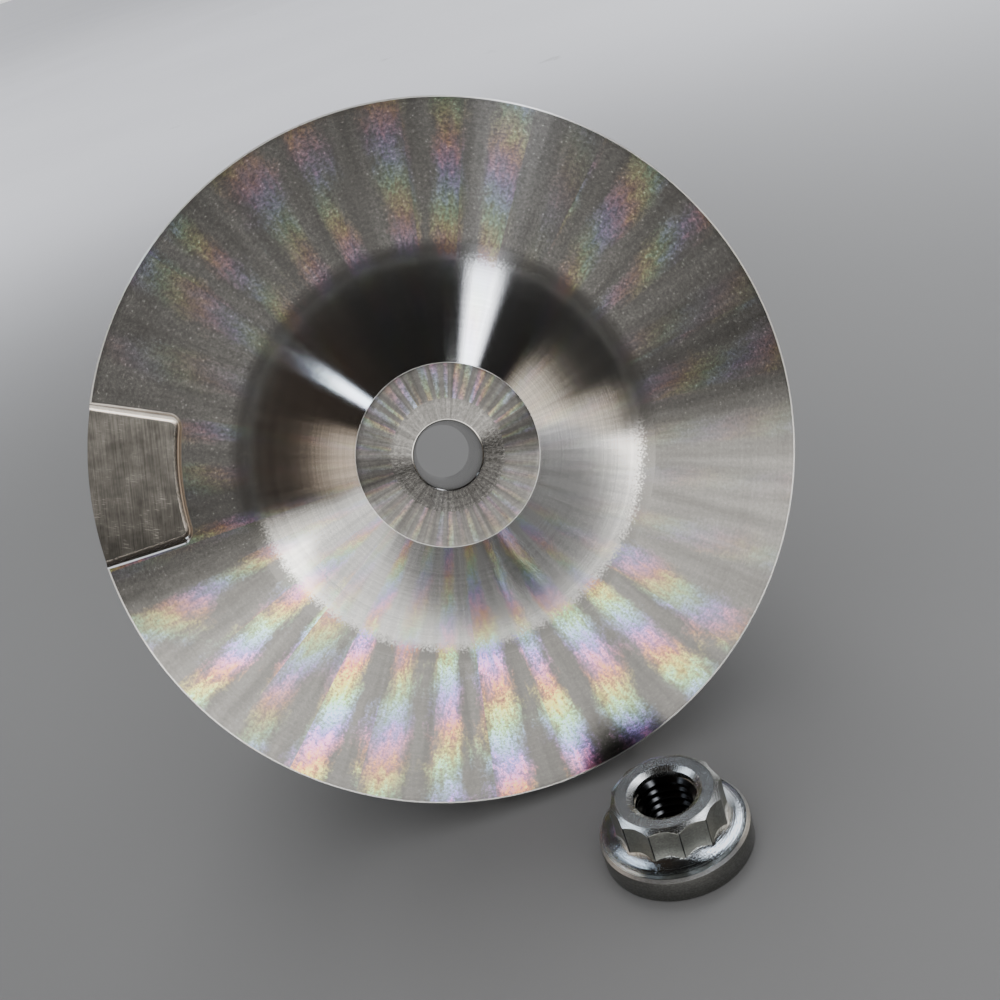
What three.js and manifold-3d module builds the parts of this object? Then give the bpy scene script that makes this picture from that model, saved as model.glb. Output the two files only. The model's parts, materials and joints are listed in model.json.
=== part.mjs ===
// Turbocharger compressor wheel lying on its blade tips, with its flange nut standing in front of it.
// Millimetres, +Z up. The floor is z = 0, and the origin is on it under the middle of the set.

import * as THREE from 'three';
import { mergeVertices } from 'three/addons/utils/BufferGeometryUtils.js';
import Module from 'manifold-3d';

const wasm = await Module();
wasm.setup();

// Wheel: z runs along its axis, with the rim's back edge at z = 0 and the back boss at positive z
const wheelRadius = 49;
const boreRadius = 4.5;
const edgeChamfer = 0.3;
const noseFaceZ = -42.5;
const noseFaceRadius = 10;
const hubCurveStartZ = -40;
const rimThickness = 1.8;
const annulusInnerRadius = 29;
const annulusRise = 0.9;
const bossRadius = 12.05;
const bossFaceZ = 10.5;
const bossStep = 0.4;
const domeStartSlope = 0.18;
const domePower = 2;

// Blades: one full blade and one splitter in each of seven pitches
const bladePairs = 7;
const inducerRadius = 37;
const inducerTipZ = -41;
const exducerWidth = 6;
const hubLeadingAngle = 1.7;
const wrapStartSlope = 94.3;
const wrapCurvature = 30;
const rootThickness = 1.5;
const tipThickness = 0.7;
const rootSink = 0.8;
const trailingEdgeInset = 0.05;
const splitterStart = 0.4;

// Balance pocket milled into the back of the rim
const pocketInnerRadius = 36.3;
const pocketFloorZ = -0.6;
const pocketStartAngle = 152.4;
const pocketEndAngle = 179.4;
const pocketCornerRadius = 1.6;

// Flange nut: a twelve-point nut for an M8 stud
const nutThreadRadius = 3.4;
const nutCounterboreRadius = 4.15;
const nutCounterboreDepth = 1.4;
const nutMouthRadius = 4.9;
const nutMouthDepth = 0.5;
const nutHeight = 9;
const nutTopRadius = 6.46;
const nutAcrossFlats = 13;
const nutPointTurn = -4.7;
const nutChamferSlope = Math.tan(THREE.MathUtils.degToRad(30));
const flangeRadius = 9.9;
const flangeWallHeight = 3.1;
const flangeBevel = 0.4;
const flangeFootBevel = 0.2;
const dishInnerRadius = 6.2;
const dishTopZ = 5.6;
const dishPower = 2.1;

// Where the nut stands, from the point on the floor below the centre of the rim's back edge
const nutPlace = new THREE.Vector2(11.5, -36);

// Fineness of the round surfaces
const wheelSegments = 72;
const nutSegments = 48;
const curveSteps = 10;
const domeSteps = 7;
const dishSteps = 5;
const bladeSteps = 12;
const spanSteps = 3;

const { degToRad, lerp } = THREE.MathUtils;
const quarterTurn = Math.PI / 2;
const bladePitch = 360 / bladePairs;
const wrapAngle = wrapStartSlope - wrapCurvature;

const aluminium = { color: 0xc4c1bc, roughness: 0.28, metalness: 1 };
const platedSteel = { color: 0xa9a69b, roughness: 0.4, metalness: 1 };

function toSolid(geometry) {
  const bare = geometry.clone();
  bare.deleteAttribute('normal');
  bare.deleteAttribute('uv');
  const merged = mergeVertices(bare, 1e-4);
  return new wasm.Manifold(new wasm.Mesh({
    numProp: 3,
    vertProperties: new Float32Array(merged.attributes.position.array),
    triVerts: new Uint32Array(merged.index.array),
  }));
}

function toGeometry(solid) {
  const mesh = solid.getMesh();
  const geometry = new THREE.BufferGeometry();
  geometry.setAttribute('position', new THREE.BufferAttribute(new Float32Array(mesh.vertProperties), 3));
  geometry.setIndex(new THREE.BufferAttribute(new Uint32Array(mesh.triVerts), 1));
  geometry.computeVertexNormals();
  return geometry;
}

// A turned solid about z from a closed outline of [radius, z] points, counter-clockwise in the r, z plane
function turned(outline, segments) {
  const points = outline.map(([r, z]) => new THREE.Vector2(r, z));
  points.push(points[0].clone());
  return toSolid(new THREE.LatheGeometry(points, segments).rotateX(quarterTurn));
}

// Steps from 0 to 1, both ends included
function fractions(steps) {
  return Array.from({ length: steps + 1 }, (_, i) => i / steps);
}

// The hub's flow surface: a quarter ellipse from the nose to the rim
function hubPoint(angle) {
  const depth = -rimThickness - hubCurveStartZ;
  const reach = wheelRadius - noseFaceRadius - 0.6;
  return [wheelRadius - reach * Math.cos(angle), hubCurveStartZ + depth * Math.sin(angle)];
}

// The blades' tip line: a quarter ellipse from the inducer to the exducer
function tipPoint(angle) {
  const depth = -rimThickness - exducerWidth - inducerTipZ;
  const reach = wheelRadius - inducerRadius;
  return [wheelRadius - reach * Math.cos(angle), inducerTipZ + depth * Math.sin(angle)];
}

// Height of the dome that carries the disc up to the back boss; it starts with a crease at the annulus
function domeHeight(radius) {
  const width = annulusInnerRadius - bossRadius;
  const inward = annulusInnerRadius - radius;
  const curl = bossFaceZ - bossStep - annulusRise - domeStartSlope * width;
  return annulusRise + domeStartSlope * inward + curl * (inward / width) ** domePower;
}

function hubAndDisc() {
  const flowSurface = fractions(curveSteps).map((s) => hubPoint(s * quarterTurn));
  const dome = fractions(domeSteps).map((s) => {
    const radius = lerp(annulusInnerRadius, bossRadius, s);
    return [radius, domeHeight(radius)];
  });
  return turned([
    [boreRadius + edgeChamfer, noseFaceZ],
    [noseFaceRadius - edgeChamfer, noseFaceZ],
    [noseFaceRadius, noseFaceZ + edgeChamfer],
    ...flowSurface,
    [wheelRadius, -edgeChamfer],
    [wheelRadius - edgeChamfer, 0],
    ...dome,
    [bossRadius, bossFaceZ - edgeChamfer],
    [bossRadius - edgeChamfer, bossFaceZ],
    [boreRadius + edgeChamfer, bossFaceZ],
    [boreRadius, bossFaceZ - edgeChamfer],
    [boreRadius, noseFaceZ + edgeChamfer],
  ], wheelSegments);
}

// Angle about the axis that a blade has turned back by a share of the way from leading to trailing edge
function wrapAt(share) {
  return wrapStartSlope * share - wrapCurvature * share * share;
}

// A point on a blade's middle surface; span is 0 on the hub and 1 at the tip, and may reach below 0
function bladePoint(share, span, leadingAngle) {
  const [hubRadius, hubZ] = hubPoint(lerp(degToRad(hubLeadingAngle), quarterTurn, share));
  const [tipRadius, tipZ] = tipPoint(share * quarterTurn);
  const radius = lerp(hubRadius, tipRadius, span) * (1 - trailingEdgeInset / wheelRadius);
  const angle = degToRad(leadingAngle - wrapAt(share));
  return new THREE.Vector3(radius * Math.cos(angle), radius * Math.sin(angle), lerp(hubZ, tipZ, span));
}

// How far below the hub surface a blade's root starts, as a share of its span
function rootSpan(share) {
  const root = bladePoint(share, 0, 0);
  const tip = bladePoint(share, 1, 0);
  return -rootSink / root.distanceTo(tip);
}

// Share of a blade's thickness that shows along the circle through a point of it
function facing(share, span) {
  const step = 1e-3;
  const point = bladePoint(share, span, 0);
  const along = bladePoint(share + step, span, 0).sub(point);
  const across = bladePoint(share, span + step, 0).sub(point);
  const normal = along.cross(across).normalize();
  const outward = point.setZ(0).normalize();
  return Math.abs(normal.dot(new THREE.Vector3(-outward.y, outward.x, 0)));
}

// One section of a blade: out along one face from root to tip, and back along the other
function bladeSection(share, leadingAngle) {
  const spans = fractions(spanSteps).map((s) => lerp(rootSpan(share), 1, s));
  const face = (side) => spans.map((span) => {
    const thickness = lerp(rootThickness, tipThickness, Math.max(span, 0));
    const point = bladePoint(share, span, leadingAngle);
    const halfAngle = thickness / 2 / facing(share, span) / Math.hypot(point.x, point.y);
    return point.applyAxisAngle(new THREE.Vector3(0, 0, 1), side * halfAngle);
  });
  return [...face(-1), ...face(1).reverse()];
}

// A closed body through a row of sections, each an out-and-back loop with as many points
function lofted(sections) {
  const count = sections[0].length;
  const last = (sections.length - 1) * count;
  const index = [];
  for (let i = 0; i < last; i += count) {
    for (let j = 0; j < count; j++) {
      const next = (j + 1) % count;
      index.push(i + j, i + next, i + next + count);
      index.push(i + j, i + next + count, i + j + count);
    }
  }
  for (let j = 0; j + 1 < count / 2; j++) {
    const far = count - 1 - j;
    index.push(j, far, far - 1, j, far - 1, j + 1);
    index.push(last + j, last + far - 1, last + far, last + j, last + j + 1, last + far - 1);
  }
  const geometry = new THREE.BufferGeometry().setFromPoints(sections.flat());
  geometry.setIndex(index);
  return toSolid(geometry);
}

function blade(startShare, leadingAngle) {
  const shares = fractions(bladeSteps).map((s) => lerp(startShare, 1, s));
  return lofted(shares.map((share) => bladeSection(share, leadingAngle)));
}

// The milled pocket: a ring sector with rounded inner corners, open at the rim
function balancePocket() {
  const start = degToRad(pocketStartAngle);
  const end = degToRad(pocketEndAngle);
  const corner = pocketCornerRadius / pocketInnerRadius;
  const outer = wheelRadius + 2;
  const at = (radius, angle) => [radius * Math.cos(angle), radius * Math.sin(angle)];
  const outline = new THREE.Shape();
  outline.moveTo(...at(outer, start));
  outline.lineTo(...at(outer, end));
  outline.lineTo(...at(pocketInnerRadius + pocketCornerRadius, end));
  outline.quadraticCurveTo(...at(pocketInnerRadius, end), ...at(pocketInnerRadius, end - corner));
  outline.absarc(0, 0, pocketInnerRadius, end - corner, start + corner, true);
  outline.quadraticCurveTo(...at(pocketInnerRadius, start), ...at(pocketInnerRadius + pocketCornerRadius, start));
  const depth = bossFaceZ - pocketFloorZ;
  const body = new THREE.ExtrudeGeometry(outline, { depth, bevelEnabled: false, curveSegments: 5 });
  return toSolid(body.translate(0, 0, pocketFloorZ));
}

// Two trailing edges straddle the lowest line of the wheel, so that it rests evenly on four blade corners
function compressorWheel() {
  const firstLeadingAngle = -90 + bladePitch / 4 + wrapAngle;
  let wheel = hubAndDisc();
  for (let i = 0; i < bladePairs; i++) {
    const leadingAngle = firstLeadingAngle + i * bladePitch;
    wheel = wheel.add(blade(0, leadingAngle));
    wheel = wheel.add(blade(splitterStart, leadingAngle + bladePitch / 2));
  }
  return toGeometry(wheel.subtract(balancePocket()));
}

// Lowest height of the wheel's points on one side of a plane across its axis, when its back leans up by lean
function lowestPoint(geometry, lean, keep) {
  const points = geometry.attributes.position;
  let lowest = Infinity;
  for (let i = 0; i < points.count; i++) {
    if (keep(points.getZ(i))) {
      lowest = Math.min(lowest, points.getY(i) * Math.cos(lean) + points.getZ(i) * Math.sin(lean));
    }
  }
  return lowest;
}

// The lean at which the leading-edge tips and the trailing-edge corners touch the floor together
function restingLean(geometry) {
  const middleZ = inducerTipZ / 2;
  let low = 0;
  let high = Math.PI / 4;
  for (let i = 0; i < 40; i++) {
    const lean = (low + high) / 2;
    const front = lowestPoint(geometry, lean, (z) => z < middleZ);
    const back = lowestPoint(geometry, lean, (z) => z > middleZ);
    if (front > back) {
      low = lean;
    } else {
      high = lean;
    }
  }
  return low;
}

function twelvePointPrism(height) {
  const pointRadius = nutAcrossFlats / 2 / Math.cos(degToRad(30));
  const valleyRadius = nutAcrossFlats / 2 / Math.cos(degToRad(15));
  const outline = new THREE.Shape(Array.from({ length: 24 }, (_, i) => {
    const radius = i % 2 ? valleyRadius : pointRadius;
    const angle = degToRad(15 * i + nutPointTurn);
    return new THREE.Vector2(radius * Math.cos(angle), radius * Math.sin(angle));
  }));
  return toSolid(new THREE.ExtrudeGeometry(outline, { depth: height, bevelEnabled: false }));
}

function flangeNut() {
  const dishFoot = flangeWallHeight + flangeBevel;
  const dish = fractions(dishSteps).map((s) => {
    const climb = (dishTopZ - dishFoot) * s ** dishPower;
    return [lerp(flangeRadius - flangeBevel, dishInnerRadius, s), dishFoot + climb];
  });
  const flange = turned([
    [nutThreadRadius - 1, 0],
    [flangeRadius - flangeFootBevel, 0],
    [flangeRadius, flangeFootBevel],
    [flangeRadius, flangeWallHeight],
    ...dish,
    [nutThreadRadius - 1, dishTopZ],
  ], nutSegments);
  const reach = flangeRadius - nutTopRadius;
  const crownEnvelope = turned([
    [nutThreadRadius - 1, flangeBevel],
    [flangeRadius, flangeBevel],
    [flangeRadius, nutHeight - reach * nutChamferSlope],
    [nutTopRadius, nutHeight],
    [nutThreadRadius - 1, nutHeight],
  ], nutSegments);
  const crown = twelvePointPrism(nutHeight).intersect(crownEnvelope);
  const bore = turned([
    [0, -1],
    [nutCounterboreRadius, -1],
    [nutCounterboreRadius, flangeBevel],
    [nutThreadRadius, nutCounterboreRadius - nutThreadRadius + flangeBevel],
    [nutThreadRadius, nutHeight - nutCounterboreDepth],
    [nutCounterboreRadius, nutHeight - nutCounterboreDepth],
    [nutCounterboreRadius, nutHeight - nutMouthDepth],
    [nutMouthRadius, nutHeight],
    [nutMouthRadius, nutHeight + 1],
    [0, nutHeight + 1],
  ], nutSegments);
  return toGeometry(flange.add(crown).subtract(bore));
}

function namedMesh(name, geometry, finish) {
  const mesh = new THREE.Mesh(geometry, new THREE.MeshStandardMaterial(finish));
  mesh.name = name;
  return mesh;
}

const wheelGeometry = compressorWheel();
const lean = restingLean(wheelGeometry);
const wheel = namedMesh('compressor_wheel', wheelGeometry, aluminium);
wheel.rotation.x = quarterTurn - lean;
wheel.position.z = -lowestPoint(wheelGeometry, lean, () => true);

const nut = namedMesh('flange_nut', flangeNut(), platedSteel);
nut.position.set(nutPlace.x, nutPlace.y, 0);

const set = new THREE.Group();
set.add(wheel, nut);
set.updateMatrixWorld(true);
const extent = new THREE.Box3().setFromObject(set, true);
const middle = extent.getCenter(new THREE.Vector3());
set.position.set(-middle.x, -middle.y, 0);

export default set;
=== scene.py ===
# A compressor wheel lying on its blade tips, with its flange nut in front of it, as a studio picture.
# Meshes are made in millimetres in each piece's own axes, and then set into the frame in metres.

import json
from math import acos, atan2, cos, degrees, hypot, pi, radians, sin, sqrt, tan
import bpy
import bmesh
from mathutils import Matrix, Vector


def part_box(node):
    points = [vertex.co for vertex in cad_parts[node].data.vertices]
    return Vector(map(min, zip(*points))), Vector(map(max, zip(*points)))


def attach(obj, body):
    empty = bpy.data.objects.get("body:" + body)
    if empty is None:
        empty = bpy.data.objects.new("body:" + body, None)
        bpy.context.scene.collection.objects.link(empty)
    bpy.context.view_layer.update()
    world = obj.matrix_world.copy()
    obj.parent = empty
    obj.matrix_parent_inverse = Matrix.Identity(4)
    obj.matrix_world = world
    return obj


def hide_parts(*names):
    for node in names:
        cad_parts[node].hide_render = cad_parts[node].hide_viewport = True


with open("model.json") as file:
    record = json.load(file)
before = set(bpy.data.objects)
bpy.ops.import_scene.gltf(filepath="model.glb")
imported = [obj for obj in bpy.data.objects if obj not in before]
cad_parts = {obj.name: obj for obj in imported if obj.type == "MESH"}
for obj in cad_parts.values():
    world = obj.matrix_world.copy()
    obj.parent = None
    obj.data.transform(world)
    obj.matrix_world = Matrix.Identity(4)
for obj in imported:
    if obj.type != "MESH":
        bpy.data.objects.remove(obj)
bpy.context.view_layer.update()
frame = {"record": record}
mounts = {m["name"]: m for m in frame["record"]["mounts"]}
print("frame loaded")

mm = 0.001


# Small helpers

def lerp(a, b, share):
    return a + (b - a) * share


def fractions(count):
    return [i / count for i in range(count + 1)]


def rounded(centre, radius, start, end, count=5):
    # points of an arc in an outline, angles in degrees
    angles = [radians(lerp(start, end, s)) for s in fractions(count)]
    return [(centre[0] + radius * cos(a), centre[1] + radius * sin(a)) for a in angles]


def meshFrom(name, points, faces, uvs=None, slots=None):
    mesh = bpy.data.meshes.new(name)
    mesh.from_pydata(points, [], faces)
    if uvs:
        layer = mesh.uv_layers.new(name="finish")
        for loop, uv in zip(layer.data, uvs):
            loop.uv = uv
    if slots:
        mesh.polygons.foreach_set("material_index", slots)
    mesh.update()
    return mesh


def show(name, mesh, materials=(), sharpAngle=28):
    for material in materials:
        mesh.materials.append(material)
    mesh.shade_smooth()
    mesh.set_sharp_from_angle(angle=radians(sharpAngle))
    made = bpy.data.objects.new(name, mesh)
    bpy.context.scene.collection.objects.link(made)
    return made


def settle(worked, name, placing, sharpAngle=28):
    # the evaluated shape as a plain mesh, set into the frame, in an object at the origin
    evaluated = worked.evaluated_get(bpy.context.evaluated_depsgraph_get())
    mesh = bpy.data.meshes.new_from_object(evaluated)
    mesh.name = name
    mesh.transform(placing)
    mesh.shade_smooth()
    mesh.set_sharp_from_angle(angle=radians(sharpAngle))
    worked.modifiers.clear()
    bpy.data.objects.remove(worked)
    made = bpy.data.objects.new(name, mesh)
    bpy.context.scene.collection.objects.link(made)
    return made


# Where the wheel and the nut are, worked out from the frame

wheelSizes = {
    "radius": 49.0,
    "boreRadius": 4.5,
    "rimThickness": 1.8,
    "annulusInner": 29.0,
    "annulusRise": 0.9,
    "bossRadius": 12.05,
    "bossFaceZ": 10.5,
    "dishRadius": 7.4,
    "dishDepth": 0.24,
    "noseFaceZ": -42.5,
    "noseRadius": 10.0,
    "hubStartZ": -40.0,
    "mountRadius": 8.5,     # where the boss face's mount lies, to one side of the axis
}
backFace = mounts["boss_back_face"]
wheelAxis = Vector(backFace["axis"]).normalized()
wheelCentre = (Vector(backFace["pos_m"]) - Vector((wheelSizes["mountRadius"] * mm, 0, 0))
               - wheelAxis * wheelSizes["bossFaceZ"] * mm)
wheelTurn = atan2(-wheelAxis.y, wheelAxis.z)
wheelPlacing = Matrix.Translation(wheelCentre) @ Matrix.Rotation(wheelTurn, 4, "X") @ Matrix.Scale(mm, 4)

nutLow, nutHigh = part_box("flange_nut")
nutCentre = Vector(((nutLow.x + nutHigh.x) / 2, (nutLow.y + nutHigh.y) / 2, nutLow.z))
nutPlacing = Matrix.Translation(nutCentre) @ Matrix.Scale(mm, 4)


# Node helpers

def add(tree, kind, inputs=None, **settings):
    made = tree.nodes.new(kind)
    for name, value in settings.items():
        setattr(made, name, value)
    for key, value in (inputs or {}).items():
        if isinstance(value, bpy.types.NodeSocket):
            tree.links.new(value, made.inputs[key])
        else:
            made.inputs[key].default_value = value
    return made


def calc(tree, operation, a, b=0.0, c=0.0):
    return add(tree, "ShaderNodeMath", {0: a, 1: b, 2: c}, operation=operation).outputs[0]


def times(tree, a, b):
    return calc(tree, "MULTIPLY", a, b)


def vectorCalc(tree, operation, a, b=None):
    inputs = {0: a} if b is None else {0: a, 1: b}
    made = add(tree, "ShaderNodeVectorMath", inputs, operation=operation)
    return made.outputs["Value" if operation in ("LENGTH", "DOT_PRODUCT") else "Vector"]


def combine(tree, x, y, z):
    return add(tree, "ShaderNodeCombineXYZ", {"X": x, "Y": y, "Z": z}).outputs[0]


def noise(tree, vector, scale=1.0, detail=2.0, roughness=0.5):
    inputs = {"Vector": vector, "Scale": scale, "Detail": detail, "Roughness": roughness}
    return add(tree, "ShaderNodeTexNoise", inputs).outputs["Fac"]


def spread(tree, value, low, high, toLow=0.0, toHigh=1.0):
    inputs = {"Value": value, "From Min": low, "From Max": high, "To Min": toLow, "To Max": toHigh}
    return add(tree, "ShaderNodeMapRange", inputs, clamp=True).outputs["Result"]


def blend(tree, kind, share, a, b):
    made = add(tree, "ShaderNodeMix", {"Factor": share}, data_type="RGBA", blend_type=kind)
    for socket, value in ((made.inputs[6], a), (made.inputs[7], b)):
        if isinstance(value, bpy.types.NodeSocket):
            tree.links.new(value, socket)
        else:
            socket.default_value = (*value, 1)
    return made.outputs[2]


def dimmed(tree, colour, share):
    return blend(tree, "MULTIPLY", 1.0, colour, combine(tree, share, share, share))


def rainbow(tree, value, colours):
    ramp = add(tree, "ShaderNodeValToRGB", {"Fac": value})
    bar = ramp.color_ramp
    while len(bar.elements) < len(colours):
        bar.elements.new(0.5)
    for i, colour in enumerate(colours):
        bar.elements[i].position = i / (len(colours) - 1)
        bar.elements[i].color = (*colour, 1)
    return ramp.outputs["Color"]


def newMaterial(name):
    material = bpy.data.materials.new(name)
    material.use_nodes = True
    tree = material.node_tree
    tree.nodes.clear()
    output = tree.nodes.new("ShaderNodeOutputMaterial")
    shader = tree.nodes.new("ShaderNodeBsdfPrincipled")
    tree.links.new(shader.outputs[0], output.inputs["Surface"])
    return material, tree, shader


# Turned metal: everything runs round an axis, so the pattern is read in polar coordinates about it

wheelSpot = {"centre": wheelCentre, "axis": wheelAxis, "turn": wheelTurn}
nutSpot = {"centre": nutCentre, "axis": Vector((0, 0, 1)), "turn": 0.0}

# rainbow colours of the painted sheen
sheen = [(1.0, 0.88, 0.22), (0.55, 0.95, 0.45), (0.5, 0.75, 1.0), (0.5, 0.4, 1.0),
         (1.0, 0.4, 0.75), (1.0, 0.4, 0.2), (1.0, 0.88, 0.22)]


def polar(tree, spot):
    # local millimetres about the piece's axis: x, y, z, radius, and the unit direction round the axis
    place = add(tree, "ShaderNodeTexCoord").outputs["Object"]
    local = add(tree, "ShaderNodeMapping", {
        "Vector": place, "Location": spot["centre"], "Rotation": (spot["turn"], 0, 0),
        "Scale": (mm, mm, mm)}, vector_type="TEXTURE").outputs[0]
    parts = add(tree, "ShaderNodeSeparateXYZ", {0: local}).outputs
    flat = combine(tree, parts[0], parts[1], 0.0)
    radius = vectorCalc(tree, "LENGTH", flat)
    way = vectorCalc(tree, "NORMALIZE", flat)
    sides = add(tree, "ShaderNodeSeparateXYZ", {0: way}).outputs
    return {"place": place, "local": local, "z": parts[2], "radius": radius,
            "wayX": sides[0], "wayY": sides[1]}


def lengthways(tree, spot, place):
    # the direction in the surface that crosses the turning marks
    arm = vectorCalc(tree, "SUBTRACT", place, spot["centre"])
    around = vectorCalc(tree, "CROSS_PRODUCT", spot["axis"], arm)
    normal = add(tree, "ShaderNodeNewGeometry").outputs["Normal"]
    return vectorCalc(tree, "NORMALIZE", vectorCalc(tree, "CROSS_PRODUCT", around, normal))


def ringNoise(tree, about, aroundScale, outScale, lift=0.0, detail=2.0, roughness=0.5):
    # noise that changes at aroundScale round the axis and at outScale out from it
    x = times(tree, about["wayX"], aroundScale)
    y = times(tree, about["wayY"], aroundScale)
    reach = calc(tree, "SUBTRACT", about["radius"], about["z"])
    z = calc(tree, "MULTIPLY_ADD", reach, outScale, lift)
    return noise(tree, combine(tree, x, y, z), 1.0, detail, roughness)


# How the painted sheen forms: rainbow bands that stand in for light diffracted by the turning marks. A wave
# round the axis, broken up by noises in these shares, is cut off between the edges. "downhill" is the way
# on the disc in which the painted sheen grows strong, as the light falls there; uphill it is faint.
paintedSheenForm = {
    "noiseShares": {"uneven": 4.0, "blotch": 2.0, "grain": 1.2},
    "edges": (2.9, 4.9),
    "ownStrength": (0.0, 0.7, 0.2, 1.0),
    "downhill": (-0.31, -0.95),
    "uphillFade": (-0.9, -0.1),
    "downhillRise": (0.2, 0.92),
    "hueLean": (44.0, 78.0),        # radius of one hue in millimetres: its change up the disc, its middle
    "hueShares": {"own": 0.5, "blotch": 0.6},
    "glintGrain": (0.36, 0.6),
    "glintHigh": 1.25,
    "glintBlotch": (0.35, 0.62, 0.75, 1.15),
}


def paintedSheenBands(tree, about, look, grain, shade):
    # painted sheen: bands of rainbow colour with painted glints that cross the turning marks, each with its
    # own strength
    form = paintedSheenForm
    wander = ringNoise(tree, about, 3.0, 0.0, 7.0)
    angle = calc(tree, "ARCTAN2", about["wayY"], about["wayX"])
    shift = calc(tree, "MULTIPLY_ADD", wander, look["wander"], look["bandPhase"] - look["wander"] / 2)
    count = calc(tree, "MULTIPLY_ADD", angle, look["bands"] / (2 * pi), shift)
    wave = calc(tree, "SINE", times(tree, count, 2 * pi))
    number = calc(tree, "FLOOR", count)
    own = add(tree, "ShaderNodeTexWhiteNoise", {"W": number}, noise_dimensions="1D").outputs[0]
    uneven = ringNoise(tree, about, 6.0, 0.07, 11.0)
    blotch = ringNoise(tree, about, look["blotchRound"], 0.4, 23.0, 3.0, 0.7)
    shares = form["noiseShares"]
    rough = calc(tree, "MULTIPLY_ADD", uneven, shares["uneven"], times(tree, blotch, shares["blotch"]))
    rough = calc(tree, "MULTIPLY_ADD", grain, shares["grain"], rough)
    band = spread(tree, calc(tree, "ADD", rough, wave), *form["edges"])
    band.node.interpolation_type = "SMOOTHSTEP"
    band = times(tree, band, spread(tree, own, *form["ownStrength"]))
    downX, downY = form["downhill"]
    low = calc(tree, "MULTIPLY_ADD", about["wayX"], downX, times(tree, about["wayY"], downY))
    top, side, bottom = look["sheenAt"]
    steep = spread(tree, low, *form["uphillFade"], top - side, 0.0)
    steep = calc(tree, "ADD", steep, spread(tree, low, *form["downhillRise"], side, bottom))
    band = times(tree, band, steep)
    lean = calc(tree, "MULTIPLY_ADD", about["wayY"], *form["hueLean"])
    jitter = times(tree, own, form["hueShares"]["own"])
    jitter = calc(tree, "MULTIPLY_ADD", grain, look["hueJitter"], jitter)
    jitter = calc(tree, "MULTIPLY_ADD", blotch, form["hueShares"]["blotch"], jitter)
    phase = calc(tree, "SUBTRACT", about["radius"], lean)
    hue = calc(tree, "FRACT", calc(tree, "MULTIPLY_ADD", phase, 1 / look["huePeriod"], jitter))
    glint = spread(tree, grain, *form["glintGrain"], look["glintLow"], form["glintHigh"])
    glint = times(tree, glint, spread(tree, blotch, *form["glintBlotch"]))
    pale = blend(tree, "MIX", look["paleness"], rainbow(tree, hue, sheen), (1, 1, 1))
    bright = dimmed(tree, pale, glint)
    return blend(tree, "MIX", times(tree, band, look["sheen"]), shade, bright)


def turnedMetal(name, spot, look):
    material, tree, shader = newMaterial(name)
    about = polar(tree, spot)
    grain = ringNoise(tree, about, look["grainRound"], look["grainOut"], 3.0, 3.0, 0.7)
    rings = ringNoise(tree, about, 0.4, look["ringsOut"], 5.0)
    speckle = spread(tree, grain, 0.3, 0.7, 1 - look["grainDepth"], 1 + look["grainDepth"] * 0.6)
    light = times(tree, speckle, spread(tree, rings, 0.3, 0.7, 1 - look["ringDepth"], 1.0))
    if look["streakDepth"]:
        streaks = ringNoise(tree, about, look["streaks"], 0.05, 17.0, 3.0, 0.6)
        dimmest, brightest = 1 - look["streakDepth"], 1 + look["streakDepth"] * 0.5
        light = times(tree, light, spread(tree, streaks, 0.35, 0.65, dimmest, brightest))
    shade = dimmed(tree, look["colour"], light)
    # painted sheen: rainbow bands and glints painted into the colour, strongest low on the disc
    if look["sheen"]:
        shade = paintedSheenBands(tree, about, look, grain, shade)
    wear = spread(tree, grain, 0.3, 0.7, look["roughness"] * 0.9, look["roughness"] * 1.1)
    if "fringe" in look:
        # a ragged edge, where this finish gives way to the next one out
        beyond = look["fringe"]
        ragged = calc(tree, "MULTIPLY_ADD", grain, look["fringeDepth"], about["radius"])
        share = spread(tree, calc(tree, "SUBTRACT", ragged, look["fringeDepth"] / 2), *look["fringeRadii"])
        dull = dimmed(tree, beyond["colour"], speckle)
        # the next finish's painted sheen carries on across the ragged edge
        dull = paintedSheenBands(tree, about, beyond, grain, dull)
        shade = blend(tree, "MIX", share, shade, dull)
        gap = calc(tree, "SUBTRACT", beyond["roughness"], wear)
        wear = calc(tree, "MULTIPLY_ADD", gap, share, wear)
    tree.links.new(shade, shader.inputs["Base Color"])
    tree.links.new(wear, shader.inputs["Roughness"])
    height = calc(tree, "MULTIPLY_ADD", grain, look["grainBump"], rings)
    bump = add(tree, "ShaderNodeBump", {"Strength": look["bump"], "Distance": 0.02 * mm, "Height": height})
    tree.links.new(bump.outputs[0], shader.inputs["Normal"])
    if look["anisotropy"]:
        tree.links.new(lengthways(tree, spot, about["place"]), shader.inputs["Tangent"])
    shader.inputs["Metallic"].default_value = 1.0
    shader.inputs["Anisotropic"].default_value = look["anisotropy"]
    return material


annulusLook = {
    "colour": (0.163, 0.159, 0.151), "roughness": 0.25, "anisotropy": 1.0,
    "sheen": 1.0, "bands": 30.0, "bandPhase": 0.36, "wander": 0.9, "sheenAt": (0.13, 0.07, 0.85),
    "huePeriod": 15.0, "hueJitter": 0.25, "glintLow": 0.5, "blotchRound": 40.0, "paleness": 0.0,
    "grainRound": 95.0, "grainOut": 2.7, "grainDepth": 0.25, "grainBump": 0.6,
    "streaks": 22.0, "streakDepth": 0.2,
    "ringsOut": 3.0, "ringDepth": 0.12, "bump": 0.06,
}
domeLook = {**annulusLook, "colour": (0.8, 0.79, 0.77), "roughness": 0.15, "sheen": 0.55,
            "sheenAt": (0.2, 0.15, 1.0), "grainDepth": 0.08, "huePeriod": 11.0, "glintLow": 0.8,
            "grainBump": 0.7, "bump": 0.2, "ringDepth": 0.2, "blotchRound": 26.0,
            "streaks": 26.0, "streakDepth": 0.15,
            "fringe": annulusLook, "fringeRadii": (26.0, 27.6), "fringeDepth": 5.0}
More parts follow.
